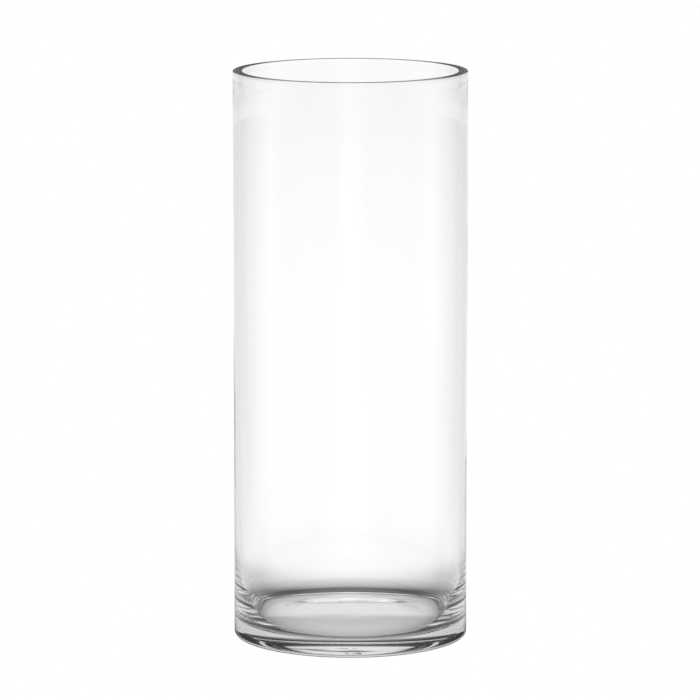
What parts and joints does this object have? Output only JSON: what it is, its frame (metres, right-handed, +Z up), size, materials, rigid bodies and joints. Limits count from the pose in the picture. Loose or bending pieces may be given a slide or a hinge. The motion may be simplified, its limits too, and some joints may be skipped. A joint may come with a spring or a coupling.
{
  "type": "glass cylinder vase",
  "caption": "Tall clear glass cylinder vase with a straight wall, an open mouth with a flat ground rim, and a thick base hollowed slightly underneath.",
  "frame": {"origin": "centre of the foot, on the surface that the vase stands on", "axes": "+Z up the axis of the cylinder, out of the mouth; +X and +Y are free, because the vase is round"},
  "size_m": [0.125, 0.125, 0.305],
  "materials": {
    "clear_glass": "clear, fire-polished"
  },
  "bodies": {
    "root": {"glass_vase": "clear_glass"}
  },
  "joints": []
}
